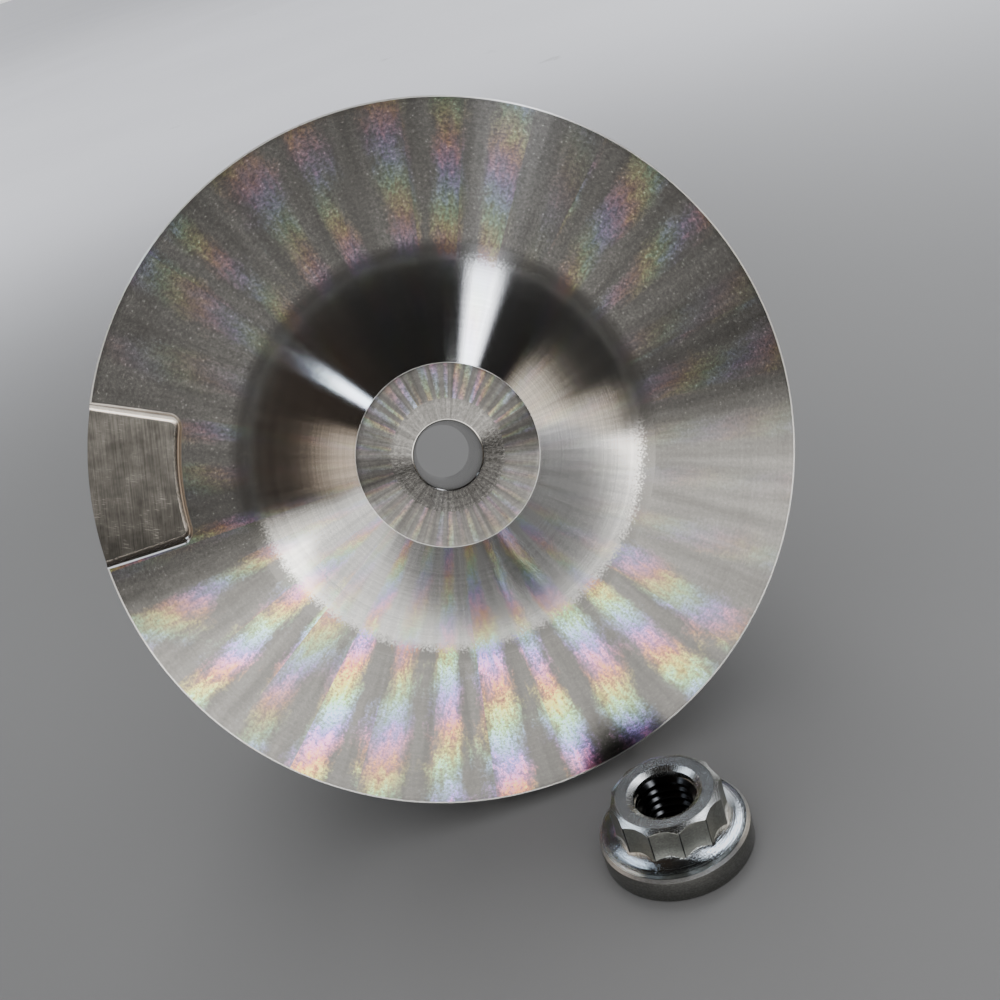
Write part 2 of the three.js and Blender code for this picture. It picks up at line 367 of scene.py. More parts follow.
bossFaceLook = {**annulusLook, "colour": (0.128, 0.124, 0.118), "roughness": 0.23,
                "bands": 44.0, "sheen": 0.6, "sheenAt": (0.32, 0.1, 0.15), "huePeriod": 9.0,
                "paleness": 0.2, "grainRound": 20.0, "blotchRound": 12.0,
                "streaks": 16.0, "streakDepth": 0.35}
seatLook = {**bossFaceLook, "colour": (0.148, 0.144, 0.137), "sheen": 0.0, "roughness": 0.2, "bump": 0.6,
            "grainDepth": 0.4, "streakDepth": 0.3}
rimLook = {**annulusLook, "colour": (0.9, 0.89, 0.87), "roughness": 0.42, "sheen": 0.0, "grainDepth": 0.1,
           "streakDepth": 0.0}
# reamed and glossy, and darker than the rim's metal: painted shade inside the bore
boreLook = {**rimLook, "colour": (0.42, 0.41, 0.39), "roughness": 0.16, "anisotropy": 0.5}


def milledMetal(name, look):
    # cutter lines that follow the finish map: x across the lines, y along them
    material, tree, shader = newMaterial(name)
    finish = add(tree, "ShaderNodeUVMap", uv_map="finish").outputs[0]
    parts = add(tree, "ShaderNodeSeparateXYZ", {0: finish}).outputs
    lineWay = combine(tree, times(tree, parts[0], look["lines"]),
                      times(tree, parts[1], look["along"]), 0.0)
    lines = noise(tree, lineWay, 1.0, 2.0, 0.6)
    shade = spread(tree, lines, 0.3, 0.7, 1 - look["lineDepth"], 1.0)
    colour = dimmed(tree, look["colour"], shade)
    tree.links.new(colour, shader.inputs["Base Color"])
    bump = add(tree, "ShaderNodeBump", {"Strength": look["bump"], "Distance": 0.03 * mm, "Height": lines})
    tree.links.new(bump.outputs[0], shader.inputs["Normal"])
    shader.inputs["Metallic"].default_value = 1.0
    shader.inputs["Roughness"].default_value = look["roughness"]
    return material


flowLook = {"colour": (0.74, 0.73, 0.71), "roughness": 0.3, "lines": 220.0, "along": 6.0,
            "lineDepth": 0.25, "bump": 0.4}
bladeLook = {"colour": (0.76, 0.75, 0.73), "roughness": 0.27, "lines": 60.0, "along": 5.0,
             "lineDepth": 0.22, "bump": 0.35}


def pocketMetal(name, look):
    # cutter passes side by side on the pocket's floor, with painted shade that darkens it towards its end,
    # and a few scuffs
    material, tree, shader = newMaterial(name)
    about = polar(tree, wheelSpot)
    a = radians(look["angle"])
    out = vectorCalc(tree, "DOT_PRODUCT", about["local"], (cos(a), sin(a), 0))
    along = vectorCalc(tree, "DOT_PRODUCT", about["local"], (-sin(a), cos(a), 0))
    lineOut, lineAlong = look["lineScale"]
    lineWay = combine(tree, times(tree, out, lineOut), times(tree, along, lineAlong), 0.0)
    lines = noise(tree, lineWay, 1.0, 3.0, 0.7)
    slant = calc(tree, "MULTIPLY_ADD", out, look["scuffSlant"], along)
    scuffOut, scuffAcross = look["scuffScale"]
    scuffWay = combine(tree, times(tree, out, scuffOut), times(tree, slant, scuffAcross), 4.0)
    scuffs = spread(tree, noise(tree, scuffWay, 1.0, 1.0), 0.6, 0.72)
    patches = noise(tree, about["local"], look["patchScale"], 3.0, 0.6)
    scuffs = times(tree, scuffs, spread(tree, patches, 0.48, 0.6, 0.0, look["scuffs"]))
    # painted shade: the floor darkens from one side of the pocket to the other
    shade = times(tree, spread(tree, lines, 0.3, 0.7, 0.6, 1.3), spread(tree, along, *look["pocketPaintedShade"]))
    shade = times(tree, shade, spread(tree, patches, 0.35, 0.65, 0.75, 1.3))
    shade = calc(tree, "ADD", shade, scuffs)
    colour = dimmed(tree, look["colour"], shade)
    tree.links.new(colour, shader.inputs["Base Color"])
    bump = add(tree, "ShaderNodeBump", {"Strength": 0.2, "Distance": 0.02 * mm, "Height": lines})
    tree.links.new(bump.outputs[0], shader.inputs["Normal"])
    shader.inputs["Metallic"].default_value = 1.0
    shader.inputs["Roughness"].default_value = look["roughness"]
    return material


pocketLook = {
    "colour": (0.155, 0.145, 0.13), "roughness": 0.34,
    "angle": 165.9,                     # of the pocket's middle line, in degrees
    "lineScale": (5.0, 0.1),
    "scuffs": 0.8, "scuffSlant": 0.25, "scuffScale": (0.9, 9.0), "patchScale": 0.35,
    "pocketPaintedShade": (-9, 9, 1.1, 0.28),      # painted shade, from one side of the pocket to the other
}

annulusMetal = turnedMetal("turnedAnnulus", wheelSpot, annulusLook)
domeMetal = turnedMetal("turnedDome", wheelSpot, domeLook)
bossMetal = turnedMetal("turnedBossFace", wheelSpot, bossFaceLook)
seatMetal = turnedMetal("turnedSeat", wheelSpot, seatLook)
rimMetal = turnedMetal("turnedRim", wheelSpot, rimLook)
boreMetal = turnedMetal("reamedBoreWithPaintedShade", wheelSpot, boreLook)
flowMetal = milledMetal("milledFlowSurface", flowLook)
bladeMetal = milledMetal("milledBlades", bladeLook)
pocketFloor = pocketMetal("milledPocket", pocketLook)
pocketSideLook = {**rimLook, "colour": (0.7, 0.64, 0.57), "roughness": 0.24, "anisotropy": 0.0}
pocketSideMetal = turnedMetal("milledPocketSide", wheelSpot, pocketSideLook)
# a bright bluish painted highlight along the bevel at one side of the pocket
pocketPaintedHighlight, _, paintedHighlightShader = newMaterial("pocketPaintedHighlight")
paintedHighlightShader.inputs["Base Color"].default_value = (0.78, 0.8, 0.86, 1)
paintedHighlightShader.inputs["Roughness"].default_value = 0.4
print("metals made")


# Hub and back disc: a turned outline with the balance pocket milled out of its rim

bladeSizes = {
    "pairs": 7,
    "inducerRadius": 37.0,
    "inducerZ": -41.0,
    "exducerWidth": 6.0,
    "hubLeadingAngle": 1.7,
    "wrapSlope": 94.3,
    "wrapCurve": 30.0,
    "rootThickness": 1.5,
    "tipThickness": 0.7,
    "rootFillet": 1.1,
    "rootSink": 0.5,
    "inset": 0.05,
    "splitterStart": 0.4,
    "noseLength": 0.035,    # share of the chord over which the leading edge rounds off
    "tipEase": 0.12,
}


def hubPoint(angle):
    depth = -wheelSizes["rimThickness"] - wheelSizes["hubStartZ"]
    reach = wheelSizes["radius"] - wheelSizes["noseRadius"] - 0.6
    return wheelSizes["radius"] - reach * cos(angle), wheelSizes["hubStartZ"] + depth * sin(angle)


def tipPoint(angle):
    depth = -wheelSizes["rimThickness"] - bladeSizes["exducerWidth"] - bladeSizes["inducerZ"]
    reach = wheelSizes["radius"] - bladeSizes["inducerRadius"]
    return wheelSizes["radius"] - reach * cos(angle), bladeSizes["inducerZ"] + depth * sin(angle)


def wrapAt(share):
    return bladeSizes["wrapSlope"] * share - bladeSizes["wrapCurve"] * share * share


def domeZ(radius):
    w, rise = wheelSizes, 0.18
    width, inward = w["annulusInner"] - w["bossRadius"], w["annulusInner"] - radius
    curl = w["bossFaceZ"] - 0.4 - w["annulusRise"] - rise * width
    return w["annulusRise"] + rise * inward + curl * (inward / width) ** 2


# Zones of the turned surface, in the order of their metals
zones = ["rim", "flow", "annulus", "dome", "boss", "seat", "bore"]


def joined(parts):
    # one outline from named stretches; where two meet in one point, it takes the name of the later one
    outline = []
    for zone, points in parts:
        for point in points:
            if outline and hypot(point[0] - outline[-1][0][0], point[1] - outline[-1][0][1]) < 1e-6:
                outline.pop()
            outline.append((point, zone))
    return outline


def wheelOutline():
    # points go round the section: nose, flow surface, rim, back, bore; each names the zone that follows it
    w = wheelSizes
    r, b, inner, top = w["radius"], w["boreRadius"], w["annulusInner"], w["bossFaceZ"]
    edge, crisp, mouth = 0.25, 0.07, 0.2
    seatEnd = (b + mouth, top - w["dishDepth"])
    bossEdge = w["bossRadius"] - crisp
    return joined([
        ("rim", rounded((b + 0.35, w["noseFaceZ"] + 0.35), 0.35, 180, 270)),
        ("rim", rounded((w["noseRadius"] - 0.3, w["noseFaceZ"] + 0.3), 0.3, 270, 348)),
        ("flow", [hubPoint(s * pi / 2) for s in fractions(60)]),
        ("rim", rounded((r - edge, -w["rimThickness"] + edge), edge, 330, 360, 3)[1:]),
        ("rim", rounded((r - edge, -edge), edge, 0, 90)),
        ("annulus", [(lerp(r - edge, inner, s), lerp(0, w["annulusRise"], s)) for s in fractions(24)]),
        ("dome", [(q, domeZ(q)) for q in (lerp(inner, w["bossRadius"] + 0.02, s) for s in fractions(48))]),
        ("rim", rounded((bossEdge, top - crisp), crisp, 5, 90)),
        ("boss", [(lerp(bossEdge, w["dishRadius"], s), top) for s in fractions(6)]),
        ("seat", [(lerp(w["dishRadius"], seatEnd[0], s), lerp(top, seatEnd[1], s)) for s in fractions(6)]),
        ("bore", rounded((seatEnd[0], seatEnd[1] - mouth), mouth, 90, 180)),
    ])


def turnedBody(name, outline, count):
    # a closed turned body; the finish map runs round in turns (x), and along the outline (y)
    points, faces, uvs, slots = [], [], [], []
    flowDepth = -wheelSizes["rimThickness"] - wheelSizes["hubStartZ"]
    rows = len(outline)
    for i in range(count):
        a = 2 * pi * i / count
        points += [(r * cos(a), r * sin(a), z) for (r, z), _ in outline]
    for i in range(count):
        for j in range(rows):
            here, there = i * rows, (i + 1) % count * rows
            k = (j + 1) % rows
            faces.append((here + j, there + j, there + k, here + k))
            slots.append(zones.index(outline[j][1]))
            for side, row in ((i, j), (i + 1, j), (i + 1, j + 1), (i, j + 1)):
                (_, z), _ = outline[row % rows]
                share = min(max((z - wheelSizes["hubStartZ"]) / flowDepth, 0), 1)
                share = min(1.0, (2 / pi) * atan2(share, sqrt(max(1 - share * share, 0))))
                uvs.append((side / count + wrapAt(share) / 360, share))
    return meshFrom(name, points, faces, uvs, slots)


pocketSizes = {"inner": 36.3, "outer": 52.0, "floorZ": -0.6, "start": 152.4, "end": 179.4,
               "corner": 1.8, "fillet": 1.1, "topZ": 4.0, "edge": 0.16, "paintedHighlightRadii": (37.5, 48.8)}


def pocketOutline(inset):
    p = pocketSizes
    inner, corner = p["inner"] + inset, max(p["corner"] - inset, 0.3)
    low, high = radians(p["start"]), radians(p["end"])
    shift = lambda r: inset / r
    points = [(r, low + shift(r)) for r in (p["outer"], 48.0, 44.0, 40.0)]
    for s in fractions(8):      # corner between the first side and the inner wall
        a = s * pi / 2
        r = inner + corner * (1 - sin(a))
        points.append((r, low + shift(r) + corner * (1 - cos(a)) / r))
    inLow, inHigh = low + (inset + corner) / inner, high - (inset + corner) / inner
    points += [(inner, lerp(inLow, inHigh, s)) for s in fractions(30)[1:-1]]
    for s in fractions(8):
        a = (1 - s) * pi / 2
        r = inner + corner * (1 - sin(a))
        points.append((r, high - shift(r) - corner * (1 - cos(a)) / r))
    points += [(r, high - shift(r)) for r in (40.0, 44.0, 48.0, p["outer"])]
    points += [(p["outer"], lerp(high, low, s)) for s in fractions(20)[1:-1]]
    return [(r * cos(a), r * sin(a)) for r, a in points]


def pocketSide(radius, share):
    # inset and height of the pocket's wall, which rises in a fillet and ends in a bevel at the back face
    p, w = pocketSizes, wheelSizes
    face = w["annulusRise"] * max(w["radius"] - radius, 0) / (w["radius"] - w["annulusInner"])
    rise = (face - p["edge"] - p["floorZ"]) * (1 - cos(share * pi / 2))
    turn = max(1 - rise / p["fillet"], 0)
    return p["fillet"] * (1 - sqrt(1 - turn * turn)), p["floorZ"] + rise, face


def pocketCutter():
    p = pocketSizes
    radii = [hypot(x, y) for x, y in pocketOutline(0)]
    layers = [[(x, y, p["floorZ"]) for x, y in pocketOutline(p["fillet"] + 0.15)]]
    for share in fractions(8):
        sides = [pocketSide(r, share) for r in radii]
        layers.append([(*pocketOutline(sides[j][0])[j], sides[j][1]) for j in range(len(radii))])
    flare = pocketOutline(-2 * p["edge"])
    layers.append([(*flare[j], pocketSide(r, 1)[2] + p["edge"]) for j, r in enumerate(radii)])
    layers.append([(x, y, p["topZ"]) for x, y in flare])
    points, faces, count = [q for layer in layers for q in layer], [], len(radii)
    for i in range(len(layers) - 1):
        for j in range(count):
            k = (j + 1) % count
            faces.append((i * count + j, i * count + k, (i + 1) * count + k, (i + 1) * count + j))
    slots = [0] * count + [1] * (len(faces) - count) + [0, 1]
    # the bevel along one side of the pocket, between these radii, takes the painted highlight
    low, high = p["paintedHighlightRadii"]
    for j in range(count // 2, count):
        if low < radii[j] < high and low < radii[(j + 1) % count]:
            slots[(len(layers) - 3) * count + j] = 2
    faces.append(tuple(reversed(range(count))))
    faces.append(tuple(range((len(layers) - 1) * count, len(layers) * count)))
    mesh = meshFrom("pocketCutter", points, faces, slots=slots)
    edit = bmesh.new()
    edit.from_mesh(mesh)
    bmesh.ops.recalc_face_normals(edit, faces=edit.faces)
    bmesh.ops.triangulate(edit, faces=edit.faces)
    edit.to_mesh(mesh)
    edit.free()
    return mesh


bodyMesh = turnedBody("hubAndDisc", wheelOutline(), 360)
bodyMetals = [rimMetal, flowMetal, annulusMetal, domeMetal, bossMetal, seatMetal, boreMetal]
body = show("turnedBlank", bodyMesh, bodyMetals)
cutter = show("pocketCutter", pocketCutter(), [pocketFloor, pocketSideMetal, pocketPaintedHighlight])
cut = body.modifiers.new("balancePocket", "BOOLEAN")
cut.operation = "DIFFERENCE"
cut.solver = "EXACT"
cut.material_mode = "TRANSFER"
cut.object = cutter
hubAndDisc = settle(body, "hubAndDisc", wheelPlacing)
bpy.data.objects.remove(cutter)
print("hub and disc made:", len(hubAndDisc.data.polygons), "faces")


# Blades: one of each kind is shaped from the wheel's rule, and Geometry Nodes sets it round the hub

def bladePoint(share, span, turn=0.0):
    hubR, hubZ = hubPoint(lerp(radians(bladeSizes["hubLeadingAngle"]), pi / 2, share))
    tipR, tipZ = tipPoint(share * pi / 2)
    radius = lerp(hubR, tipR, span) * (1 - bladeSizes["inset"] / wheelSizes["radius"])
    angle = turn - radians(wrapAt(share))
    return Vector((radius * cos(angle), radius * sin(angle), lerp(hubZ, tipZ, span)))


def facing(share, span):
    # share of the blade's thickness that shows along the circle through a point of it
    step = 1e-3
    point = bladePoint(share, span)
    along = bladePoint(share + step, span) - point
    across = bladePoint(share, span + step) - point
    normal = along.cross(across).normalized()
    around = Vector((-point.y, point.x, 0)).normalized()
    return abs(normal.dot(around))


def bladeHalf(share, span, startShare, height):
    # half the blade's thickness, with its rounded leading edge, root fillet and eased tip
    b = bladeSizes
    half = lerp(b["rootThickness"], b["tipThickness"], max(span, 0)) / 2
    out = (share - startShare) / b["noseLength"]
    if out < 1:
        half *= sqrt(max(1 - (1 - out) ** 2, 0))
    fromRoot = max(span, 0) * height
    if fromRoot < b["rootFillet"]:
        away = b["rootFillet"] - fromRoot
        half += (b["rootFillet"] - sqrt(b["rootFillet"] ** 2 - away ** 2)) * min(out, 1)
    fromTip = (1 - span) * height
    if fromTip < b["tipEase"]:
        half -= (b["tipEase"] - fromTip) * min(out, 1)
    return max(half, 0.0)


def bladeMesh(name, startShare):
    b = bladeSizes
    nose = [startShare + b["noseLength"] * (1 - cos(s * pi / 2)) for s in fractions(6)]
    shares = nose + [lerp(startShare + b["noseLength"], 1, s) for s in fractions(44)][1:]
    points, faces, uvs = [], [], []
    for share in shares:
        height = (bladePoint(share, 1) - bladePoint(share, 0)).length
        fillet = [b["rootFillet"] * f / height for f in (0, 0.08, 0.2, 0.36, 0.56, 0.8, 1.0)]
        spans = [-b["rootSink"] / height] + fillet
        spans += [lerp(fillet[-1], 1 - b["tipEase"] / height, s) for s in fractions(12)][1:] + [1.0]
        for side in (-1, 1):
            row = spans if side < 0 else reversed(spans)
            for span in row:
                point = bladePoint(share, span)
                half = bladeHalf(share, span, startShare, height) / facing(share, span)
                turn = side * half / hypot(point.x, point.y)
                points.append(Matrix.Rotation(turn, 3, "Z") @ point)
                uvs.append((share, span))
    count = len(spans) * 2
    last = (len(shares) - 1) * count
    for i in range(0, last, count):
        for j in range(count):
            k = (j + 1) % count
            faces.append((i + j, i + k, i + k + count, i + j + count))
    for j in range(len(spans) - 1):
        far = count - 1 - j
        faces.append((j, far, far - 1, j + 1))
        faces.append((last + j, last + j + 1, last + far - 1, last + far))
    loops = [(uvs[v][1] * 0.4, uvs[v][0]) for f in faces for v in f]
    mesh = meshFrom(name, [tuple(p) for p in points], faces, loops)
    edit = bmesh.new()
    edit.from_mesh(mesh)
    bmesh.ops.remove_doubles(edit, verts=edit.verts, dist=1e-4)
    bmesh.ops.dissolve_degenerate(edit, edges=edit.edges, dist=1e-5)
    bmesh.ops.recalc_face_normals(edit, faces=edit.faces)
    edit.to_mesh(mesh)
    edit.free()
    return mesh


def socketId(tree, name):
    return next(i.identifier for i in tree.interface.items_tree if i.name == name and i.in_out == "INPUT")


def ringOfCopies():
    # copies of the object's own mesh, set evenly round its z axis
    tree = bpy.data.node_groups.new("ringOfCopies", "GeometryNodeTree")
    face = tree.interface
    face.new_socket("Geometry", in_out="INPUT", socket_type="NodeSocketGeometry")
    face.new_socket("Copies", in_out="INPUT", socket_type="NodeSocketInt")
    face.new_socket("First Angle", in_out="INPUT", socket_type="NodeSocketFloat")
    face.new_socket("Metal", in_out="INPUT", socket_type="NodeSocketMaterial")
    face.new_socket("Geometry", in_out="OUTPUT", socket_type="NodeSocketGeometry")
    given = tree.nodes.new("NodeGroupInput").outputs
    spots = add(tree, "GeometryNodePoints", {"Count": given["Copies"]})
    index = add(tree, "GeometryNodeInputIndex").outputs[0]
    turn = calc(tree, "DIVIDE", 2 * pi, given["Copies"])
    angle = calc(tree, "MULTIPLY_ADD", index, turn, given["First Angle"])
    spin = add(tree, "FunctionNodeAxisAngleToRotation", {"Axis": (0, 0, 1), "Angle": angle}).outputs[0]
    copies = add(tree, "GeometryNodeInstanceOnPoints", {
        "Points": spots.outputs[0], "Instance": given["Geometry"], "Rotation": spin})
    real = add(tree, "GeometryNodeRealizeInstances", {0: copies.outputs[0]})
    metal = add(tree, "GeometryNodeSetMaterial", {"Geometry": real.outputs[0], "Material": given["Metal"]})
    result = tree.nodes.new("NodeGroupOutput")
    tree.links.new(metal.outputs[0], result.inputs[0])
    return tree


def bladeSet(name, startShare, firstAngle, ringTree):
    worked = show(name + "Pattern", bladeMesh(name, startShare))
    ring = worked.modifiers.new("ring", "NODES")
    ring.node_group = ringTree
    ring[socketId(ringTree, "Copies")] = bladeSizes["pairs"]
    ring[socketId(ringTree, "First Angle")] = firstAngle
    ring[socketId(ringTree, "Metal")] = bladeMetal
    return settle(worked, name, wheelPlacing)


pitch = 2 * pi / bladeSizes["pairs"]
firstAngle = -pi / 2 + pitch / 4 + radians(wrapAt(1))
ringTree = ringOfCopies()
fullBlades = bladeSet("fullBlades", 0.0, firstAngle, ringTree)
splitterBlades = bladeSet("splitterBlades", bladeSizes["splitterStart"], firstAngle + pitch / 2, ringTree)
print("blades made:", len(fullBlades.data.polygons) + len(splitterBlades.data.polygons), "faces")

for piece in (hubAndDisc, fullBlades, splitterBlades):
    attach(piece, "root")
    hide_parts("compressor_wheel")


# Flange nut: every section through its axis has the same points, drawn in or out by the twelve-point form

nutSizes = {
    "height": 9.0,
    "acrossFlats": 13.0,
    "pointRadius": 7.42,
    "pointTurn": -4.7,
    "valleyEase": 0.13,
    "topRadius": 6.46,
    "chamferAngle": 30.0,
    "flangeRadius": 9.9,
    "wall": 3.1,
    "bevel": 0.4,
    "dishInner": 6.2,
    "dishTop": 5.6,
    "dishPower": 2.1,
    "mouthRadius": 4.9,
    "mouthDepth": 0.5,
    "counterbore": 4.15,
    "counterboreDepth": 1.4,
    "threadRadius": 4.0,
    "threadCrest": 3.4,
    "threadPitch": 1.25,
    "threadTurns": 5.4,
    "threadStart": 0.75,
}


def starRadius(angle):
    # two hexagons a twelfth of a turn apart, with rounded valleys between points that are turned off round
    n = nutSizes
    twelfth = pi / 6
    angle -= radians(n["pointTurn"])
    fromValley = abs((angle + twelfth) % twelfth - twelfth / 2)
    eased = sqrt(fromValley ** 2 + n["valleyEase"] ** 2) - n["valleyEase"] * 0.35
    return min(n["acrossFlats"] / 2 / cos(min(eased, twelfth / 2 + 0.01) + twelfth / 2), n["pointRadius"])


def dishZ(radius):
    n = nutSizes
    foot, outer = n["wall"] + n["bevel"], n["flangeRadius"] - n["bevel"]
    share = (outer - radius) / (outer - n["dishInner"])
    return foot + (n["dishTop"] - foot) * max(share, 0) ** n["dishPower"]


nutZones = ["wall", "dish", "flat", "chamfer", "bore", "ring", "edge"]


def nutSection(angle):
    # half a section, from the foot's inner edge round to the thread; each point names the zone that follows
    n = nutSizes
    f, bevel, top = n["flangeRadius"], n["bevel"], n["height"]
    star = starRadius(angle)
    shoulder = top - (star - n["topRadius"]) * tan(radians(n["chamferAngle"]))
    meet = dishZ(star)
    lip, bore, low = n["mouthRadius"], n["counterbore"], top - n["counterboreDepth"]
    ringEdge = n["topRadius"] - 0.07
    return joined([
        ("wall", [(bore + 0.1, 0.0), (f - 0.2, 0.0)] + rounded((f - 0.2, 0.2), 0.2, 285, 360, 3)),
        ("wall", [(f, n["wall"] - 0.04)]),
        ("edge", [(f - 0.02, n["wall"] + 0.02)]),
        ("dish", [(f - bevel + 0.03, n["wall"] + bevel - 0.05)]),
        ("dish", [(q, dishZ(q)) for q in (lerp(f - bevel - 0.02, star + 0.2, s) for s in fractions(12))]),
        ("flat", [(star + 0.05, meet + 0.03), (star, meet + 0.25)]),
        ("flat", [(star, lerp(meet + 0.25, shoulder - 0.05, s)) for s in fractions(4)][1:]),
        ("chamfer", [(lerp(star, n["topRadius"], s), lerp(shoulder, top, s))
                     for s in (0.05, 0.35, 0.65, 0.97)]),
        ("wall", [(n["topRadius"], top)]),
        ("ring", [(lerp(ringEdge, lip + 0.06, s), top) for s in fractions(4)]),
        ("chamfer", [(lip, top - 0.03), (bore, top - n["mouthDepth"])]),
        ("chamfer", [(bore, low + 0.06), (bore - 0.06, low)]),
        ("bore", [(n["threadRadius"], lerp(low - 0.15, 0.5, s)) for s in fractions(8)]),
    ])


def nutBody():
    # a section at each turned-off point and its corners, and more of them towards the valleys
    n = nutSizes
    corner = 30 - degrees(acos(n["acrossFlats"] / 2 / n["pointRadius"]))
    steps = [0, corner, 3, 5, 7, 8.5, 10, 11, 12, 12.8, 13.6, 14.3]
    turns = [n["pointTurn"] + 30 * k + side * step for k in range(12)
             for side, row in ((-1, reversed(steps[1:])), (1, steps + [15])) for step in row]
    sections = [nutSection(radians(turn)) for turn in turns]
    rows, count = len(sections[0]), len(sections)
    points, faces, uvs, slots = [], [], [], []
    for i, (turn, section) in enumerate(zip(turns, sections)):
        a, after = radians(turn), turns[(i + 1) % count] + (360 if i + 1 == count else 0)
        points += [(r * cos(a), r * sin(a), z) for (r, z), _ in section]
        land = (turn - n["pointTurn"] + 0.1) % 30 < corner
        for j, (_, zone) in enumerate(section):
            here, there, k = i * rows, (i + 1) % count * rows, (j + 1) % rows
            faces.append((here + j, there + j, there + k, here + k))
            # the turned-off lands of the points take the near-black bore metal: painted shade, dark lines
            # along the points
            slots.append(nutZones.index("bore" if land and zone == "flat" else zone))
            for side, row in ((turn, j), (after, j), (after, j + 1), (turn, j + 1)):
                uvs.append((side / 360, row / rows))
    return meshFrom("flangeNutBody", points, faces, uvs, slots)


def threadRidge():
    # a left-hand helix carried by a flat-topped ridge, from Geometry Nodes
    tree = bpy.data.node_groups.new("threadRidge", "GeometryNodeTree")
    face = tree.interface
    for name, kind in (("Turns", "Float"), ("Pitch", "Float"), ("Radius", "Float"), ("Depth", "Float"),
                       ("Metal", "Material")):
        face.new_socket(name, in_out="INPUT", socket_type="NodeSocket" + kind)
    face.new_socket("Geometry", in_out="OUTPUT", socket_type="NodeSocketGeometry")
    given = tree.nodes.new("NodeGroupInput").outputs
    rise = times(tree, given["Turns"], given["Pitch"])
    helix = add(tree, "GeometryNodeCurveSpiral", {
        "Resolution": 96, "Rotations": given["Turns"], "Start Radius": given["Radius"],
        "End Radius": given["Radius"], "Height": rise, "Reverse": True})
    foot, crest = 0.46, 0.1
    ridge = add(tree, "GeometryNodeCurvePrimitiveQuadrilateral", mode="POINTS")
    corners = []
    for out, up in ((0.04, -foot), (-1.0, -crest), (-1.0, crest), (0.04, foot)):
        x = times(tree, given["Depth"], out)
        y = times(tree, given["Pitch"], up)
        corners.append(combine(tree, x, y, 0.0))
    for socket, corner in zip(ridge.inputs[7:11], corners):
        tree.links.new(corner, socket)
    upright = add(tree, "GeometryNodeSetCurveNormal", {"Curve": helix.outputs[0]}, mode="Z_UP")
    swept = add(tree, "GeometryNodeCurveToMesh", {
        "Curve": upright.outputs[0], "Profile Curve": ridge.outputs[0], "Fill Caps": True})
    metal = add(tree, "GeometryNodeSetMaterial", {"Geometry": swept.outputs[0], "Material": given["Metal"]})
    result = tree.nodes.new("NodeGroupOutput")
    tree.links.new(metal.outputs[0], result.inputs[0])
    return tree


flatLook = {**rimLook, "colour": (0.24, 0.245, 0.225), "roughness": 0.46, "anisotropy": 0.0,
            "grainRound": 30.0, "grainOut": 5.0, "grainDepth": 0.35, "ringsOut": 6.0, "ringDepth": 0.15,
            "bump": 0.5}
dishLook = {**flatLook, "colour": (0.72, 0.77, 0.8), "roughness": 0.09, "anisotropy": 0.3, "bump": 1.0,
            "grainRound": 24.0, "grainOut": 3.0, "grainBump": 1.8, "grainDepth": 0.2}
wallLook = {**flatLook, "colour": (0.24, 0.24, 0.225), "roughness": 0.34, "bump": 0.2}
chamferLook = {**flatLook, "colour": (0.58, 0.58, 0.55), "roughness": 0.26, "bump": 0.3, "grainDepth": 0.2}
# near black: painted shade inside the nut's bore, also used for the dark lines along the points
threadPaintedShadeLook = {**flatLook, "colour": (0.06, 0.06, 0.06), "roughness": 0.12, "grainDepth": 0.3, "bump": 0.3}
ringLook = {**flatLook, "colour": (0.4, 0.42, 0.43), "roughness": 0.24, "bump": 1.0, "grainBump": 2.5,
            "grainRound": 45.0, "grainOut": 7.0, "grainDepth": 0.8}
edgeLook = {**flatLook, "colour": (0.5, 0.5, 0.49), "roughness": 0.4, "bump": 0.2}

# In the order of the nut's zones
nutMetals = [turnedMetal(name, nutSpot, look) for name, look in (
    ("platedWall", wallLook), ("platedDish", dishLook), ("platedFlat", flatLook),
    ("platedChamfer", chamferLook), ("darkThreadPaintedShade", threadPaintedShadeLook), ("platedRing", ringLook),
    ("platedEdge", edgeLook))]

nutBodyPiece = show("flangeNutWorked", nutBody(), nutMetals, 20)
flangeNut = settle(nutBodyPiece, "flangeNut", nutPlacing, 20)

thread = show("threadWorked", bpy.data.meshes.new("thread"))
threadTree = threadRidge()
sweep = thread.modifiers.new("thread", "NODES")
sweep.node_group = threadTree
for name, value in (("Turns", nutSizes["threadTurns"]), ("Pitch", nutSizes["threadPitch"]),
                    ("Radius", nutSizes["threadRadius"]),
                    ("Depth", nutSizes["threadRadius"] - nutSizes["threadCrest"]), ("Metal", nutMetals[4])):
    sweep[socketId(threadTree, name)] = value
threadPlacing = nutPlacing @ Matrix.Translation((0, 0, nutSizes["threadStart"]))
nutThread = settle(thread, "nutThread", threadPlacing)
for piece in (flangeNut, nutThread):
    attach(piece, "root")
    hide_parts("flange_nut")
print("nut made:", len(flangeNut.data.polygons) + len(nutThread.data.polygons), "faces")


# Floor, lights and camera

